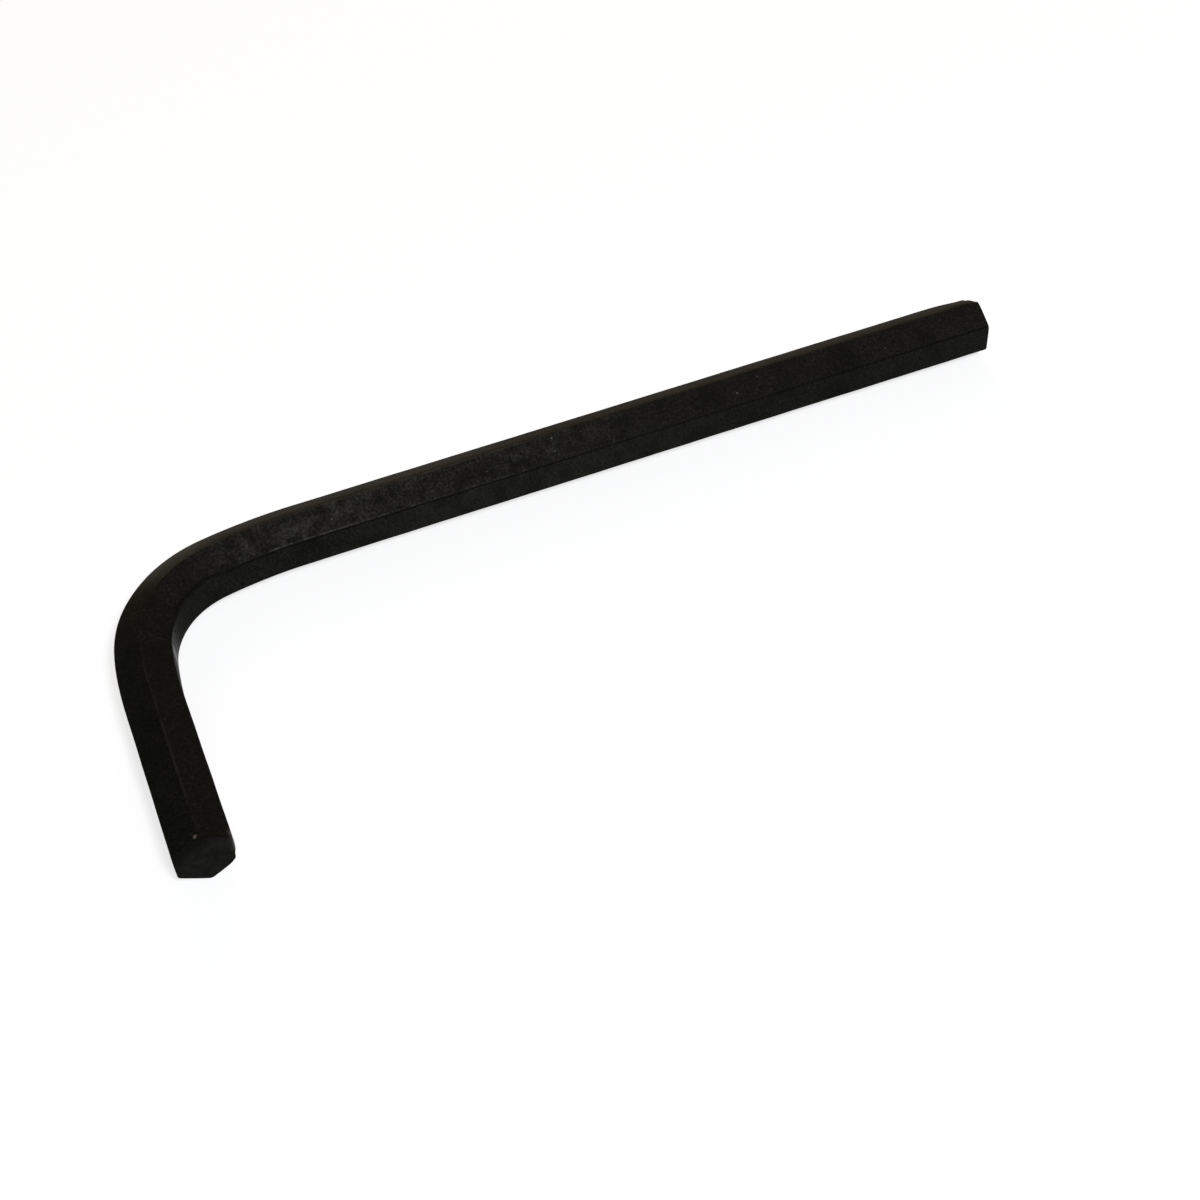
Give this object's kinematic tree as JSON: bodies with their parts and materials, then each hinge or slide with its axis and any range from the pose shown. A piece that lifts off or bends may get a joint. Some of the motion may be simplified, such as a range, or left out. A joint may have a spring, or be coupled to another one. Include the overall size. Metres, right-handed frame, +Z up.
{
  "type": "hex key",
  "caption": "L-shaped hexagonal steel key, 4 mm across flats, with a long and a short arm for turning socket-head screws.",
  "frame": {"origin": "middle of the outline seen from above, on the surface that the key lies on", "axes": "+X along the long arm towards its tip, the short arm points to -Y, +Z up from the surface"},
  "size_m": [0.071, 0.027, 0.0045],
  "materials": {
    "black_oxide_steel": "worn black oxide with a thin film of oil"
  },
  "bodies": {
    "root": {"hex_key": "black_oxide_steel"}
  },
  "joints": []
}
